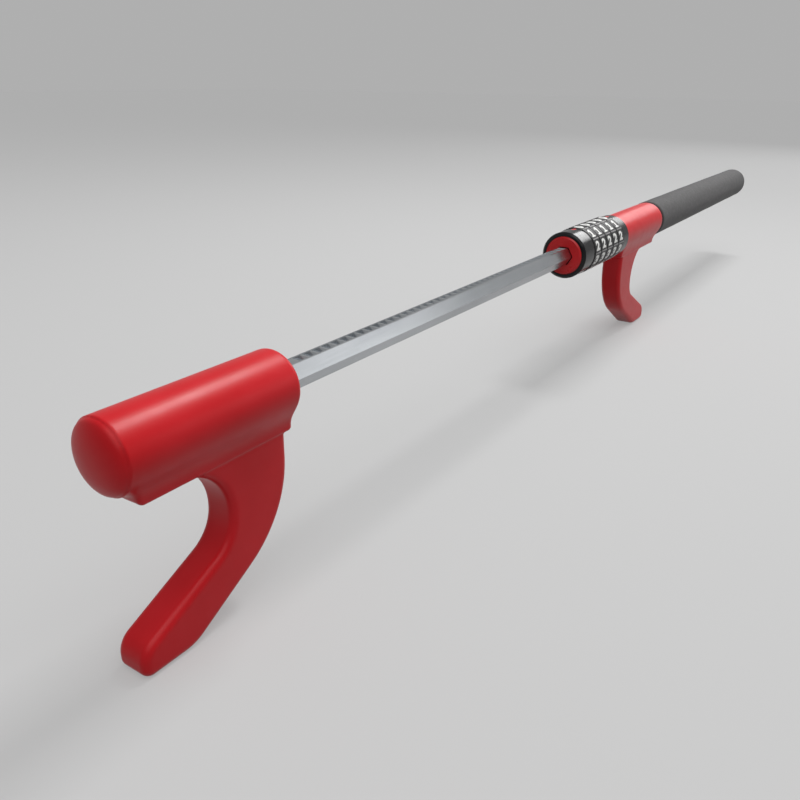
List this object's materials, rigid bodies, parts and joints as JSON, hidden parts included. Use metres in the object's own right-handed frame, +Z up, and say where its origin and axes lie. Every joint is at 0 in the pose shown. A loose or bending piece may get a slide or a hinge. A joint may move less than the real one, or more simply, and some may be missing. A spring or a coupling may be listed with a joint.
{
  "type": "steering wheel lock bar",
  "caption": "Telescoping steering wheel lock: hexagonal bar with pockets, two coated hooks, a head with number dials and a foam grip.",
  "frame": {"origin": "on the ground under the middle of the whole part, standing on its two hook tips", "axes": "+X from the front hook along the bar to the grip, +Z up and away from the hooks, -Y the side where the dials read along +X"},
  "size_m": [0.8788, 0.0326, 0.1018],
  "materials": {
    "red_coat": "soft vinyl, satin",
    "bar_steel": "bright, brushed along its length",
    "plain_steel": "plain",
    "black_head": "gloss black",
    "black_dial": "satin black",
    "red_disc": "gloss red",
    "red_mark": "plain",
    "seal_rubber": "matt",
    "ring_brass": "plain",
    "spring_steel": "bright",
    "white_nylon": "plain",
    "grip_foam": "matt foam"
  },
  "bodies": {
    "lock_body": {"face_cap": "red_disc", "wiper_seal": "seal_rubber", "drill_plate": "plain_steel", "front_collar": "black_head", "front_index_mark": "red_mark", "rear_index_mark": "red_mark", "core_sleeve": "plain_steel", "click_spring": "spring_steel", "spacer_washers": "plain_steel", "thrust_washer": "spring_steel", "fence_spring": "spring_steel", "rear_collar": "black_head", "collar_screws": "plain_steel", "rear_hub": "plain_steel", "rear_cover": "red_coat", "rear_hook_plate": "plain_steel", "sleeve_pin": "plain_steel", "tube_rivets": "plain_steel", "handle_tube": "plain_steel", "foam_grip": "grip_foam", "end_plug": "seal_rubber"},
    "bar_set": {"front_cover": "red_coat", "front_hub": "plain_steel", "front_hook_plate": "plain_steel", "front_pins": "plain_steel", "lock_bar": "bar_steel", "tail_bush": "white_nylon", "tail_washer": "plain_steel", "tail_screw": "plain_steel"},
    "dial_set_1": {"dial_1": "black_dial", "code_ring_1": "ring_brass"},
    "dial_set_2": {"dial_2": "black_dial", "code_ring_2": "ring_brass"},
    "dial_set_3": {"dial_3": "black_dial", "code_ring_3": "ring_brass"},
    "dial_set_4": {"dial_4": "black_dial", "code_ring_4": "ring_brass"},
    "dial_set_5": {"dial_5": "black_dial", "code_ring_5": "ring_brass"},
    "fence_set": {"fence": "plain_steel"},
    "pawl_set": {"pawl": "plain_steel", "pawl_pin": "plain_steel"}
  },
  "joints": [
    {"name": "bar_slide", "type": "slide", "parent": "lock_body", "child": "bar_set", "axis": [1, 0, 0], "range_m": [-0.018, 0.276]},
    {"name": "dial_1_turn", "type": "hinge", "parent": "lock_body", "child": "dial_set_1", "pos_m": [-0.0481, 0, 0.0858], "axis": [1, 0, 0], "continuous": true},
    {"name": "dial_2_turn", "type": "hinge", "parent": "lock_body", "child": "dial_set_2", "pos_m": [-0.0365, 0, 0.0858], "axis": [1, 0, 0], "continuous": true},
    {"name": "dial_3_turn", "type": "hinge", "parent": "lock_body", "child": "dial_set_3", "pos_m": [-0.0249, 0, 0.0858], "axis": [1, 0, 0], "continuous": true},
    {"name": "dial_4_turn", "type": "hinge", "parent": "lock_body", "child": "dial_set_4", "pos_m": [-0.0133, 0, 0.0858], "axis": [1, 0, 0], "continuous": true},
    {"name": "dial_5_turn", "type": "hinge", "parent": "lock_body", "child": "dial_set_5", "pos_m": [-0.0017, 0, 0.0858], "axis": [1, 0, 0], "continuous": true},
    {"name": "fence_slide", "type": "slide", "parent": "lock_body", "child": "fence_set", "axis": [-1, 0, 0], "range_m": [0, 0.0058], "deforming": ["fence_spring"]},
    {"name": "pawl_lift", "type": "slide", "parent": "lock_body", "child": "pawl_set", "axis": [0, 0, -1], "range_m": [0, 0.00139]}
  ],
  "couplings": [
    {"joint": "pawl_lift", "follows": "fence_slide", "ratio": 0.24}
  ]
}
